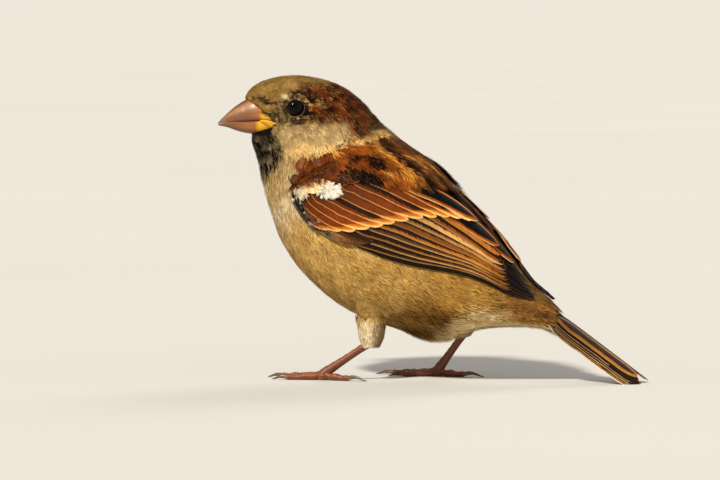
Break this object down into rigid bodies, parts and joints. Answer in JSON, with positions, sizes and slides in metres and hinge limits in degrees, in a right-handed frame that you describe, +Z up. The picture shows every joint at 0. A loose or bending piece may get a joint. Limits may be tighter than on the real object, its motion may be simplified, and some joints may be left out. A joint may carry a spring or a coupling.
{
  "type": "house sparrow",
  "caption": "Life-size still model of a standing male house sparrow in autumn plumage, head turned a little, folded wings and tail resting at floor level.",
  "frame": {"origin": "centre of the bottom of the whole bird's box, on the floor under the belly", "axes": "+Z up; the bird's body faces -X and its left side is -Y"},
  "size_m": [0.129, 0.0414, 0.0906],
  "materials": {
    "head_feathers": "soft feathers, grey-brown crown, chestnut nape, grey cheek and black bib",
    "body_feathers": "soft feathers, buff below and streaked black and rust above",
    "wing_coverts": "smooth chestnut feathers with a white bar",
    "flight_feathers": "satin dark brown feathers with rusty edges",
    "tail_feathers": "satin dark brown feathers with buff edges",
    "bill": "satin horn, brown with a yellow base",
    "eye": "wet gloss, near black",
    "leg_skin": "scaly pinkish brown skin",
    "claw": "satin dark horn"
  },
  "bodies": {
    "root": {"head": "head_feathers", "neck": "head_feathers", "trunk": "body_feathers", "shank_left": "body_feathers", "shank_right": "body_feathers", "wing_left_coverts": "wing_coverts", "wing_left_secondaries": "flight_feathers", "wing_left_primaries": "flight_feathers", "wing_right_coverts": "wing_coverts", "wing_right_secondaries": "flight_feathers", "wing_right_primaries": "flight_feathers", "tail": "tail_feathers", "bill_upper": "bill", "bill_lower": "bill", "eye_left": "eye", "eye_right": "eye", "tarsus_left": "leg_skin", "tarsus_right": "leg_skin", "foot_left": "leg_skin", "foot_right": "leg_skin", "claw_left_hind": "claw", "claw_left_inner": "claw", "claw_left_middle": "claw", "claw_left_outer": "claw", "claw_right_hind": "claw", "claw_right_inner": "claw", "claw_right_middle": "claw", "claw_right_outer": "claw"}
  },
  "joints": []
}
